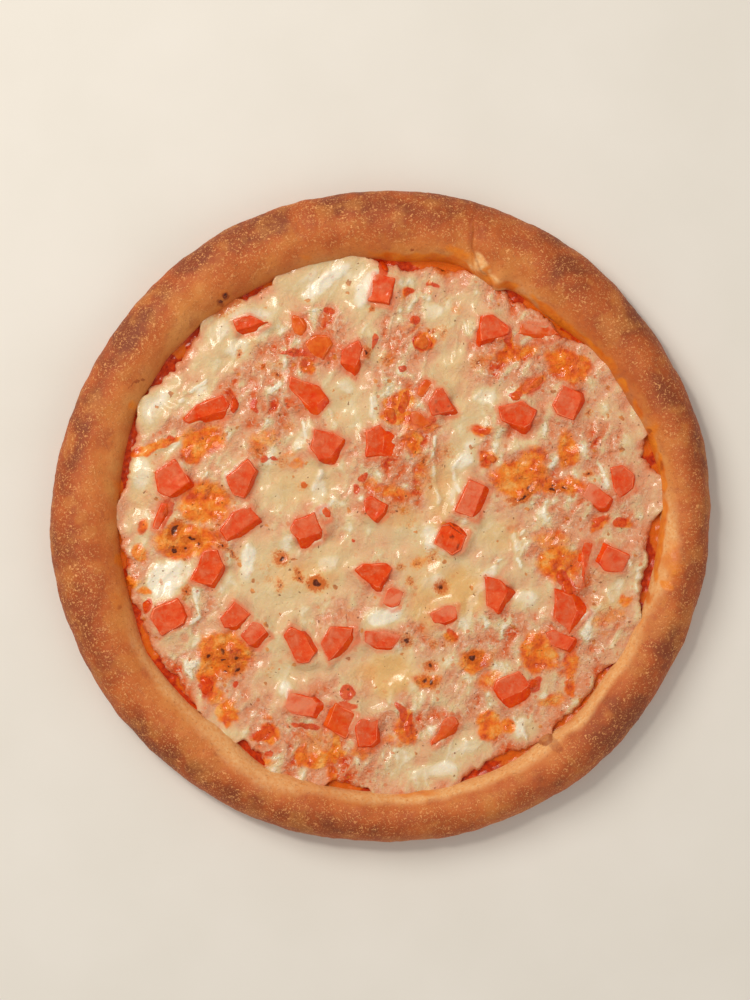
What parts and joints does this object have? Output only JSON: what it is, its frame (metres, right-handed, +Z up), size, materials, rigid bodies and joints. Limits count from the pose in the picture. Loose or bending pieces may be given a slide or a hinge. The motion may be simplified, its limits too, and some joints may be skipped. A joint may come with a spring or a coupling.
{
  "type": "margherita pizza",
  "caption": "Whole baked pizza with a rolled, browned rim, tomato sauce, melted cheese and diced tomato sunk into the cheese.",
  "frame": {"origin": "middle of the flat underside, at the bottom centre of the box round the pizza", "axes": "+Z up out of the toppings, +Y towards the side where the rim's two ends overlap, +X to the right seen from above"},
  "size_m": [0.2998, 0.2958, 0.0237],
  "materials": {
    "crust": "baked dough, golden brown with darker patches, satin",
    "sauce": "wet cooked tomato sauce with orange oil",
    "cheese": "melted cheese, creamy, oily, tinted pink and orange by the sauce",
    "tomato": "wet baked tomato flesh, semi-gloss"
  },
  "bodies": {
    "root": {"crust": "crust", "sauce": "sauce", "cheese": "cheese", "tomato_01": "tomato", "tomato_02": "tomato", "tomato_03": "tomato", "tomato_04": "tomato", "tomato_05": "tomato", "tomato_06": "tomato", "tomato_07": "tomato", "tomato_08": "tomato", "tomato_09": "tomato", "tomato_10": "tomato", "tomato_11": "tomato", "tomato_12": "tomato", "tomato_13": "tomato", "tomato_14": "tomato", "tomato_15": "tomato", "tomato_16": "tomato", "tomato_17": "tomato", "tomato_18": "tomato", "tomato_19": "tomato", "tomato_20": "tomato", "tomato_21": "tomato", "tomato_22": "tomato", "tomato_23": "tomato", "tomato_24": "tomato", "tomato_25": "tomato", "tomato_26": "tomato", "tomato_27": "tomato", "tomato_28": "tomato", "tomato_29": "tomato", "tomato_30": "tomato", "tomato_31": "tomato", "tomato_32": "tomato", "tomato_33": "tomato", "tomato_34": "tomato", "tomato_35": "tomato", "tomato_36": "tomato", "tomato_37": "tomato", "tomato_38": "tomato", "tomato_39": "tomato", "tomato_40": "tomato", "tomato_41": "tomato", "tomato_42": "tomato", "tomato_43": "tomato", "tomato_44": "tomato", "tomato_45": "tomato", "tomato_46": "tomato", "tomato_47": "tomato", "tomato_48": "tomato"}
  },
  "joints": []
}
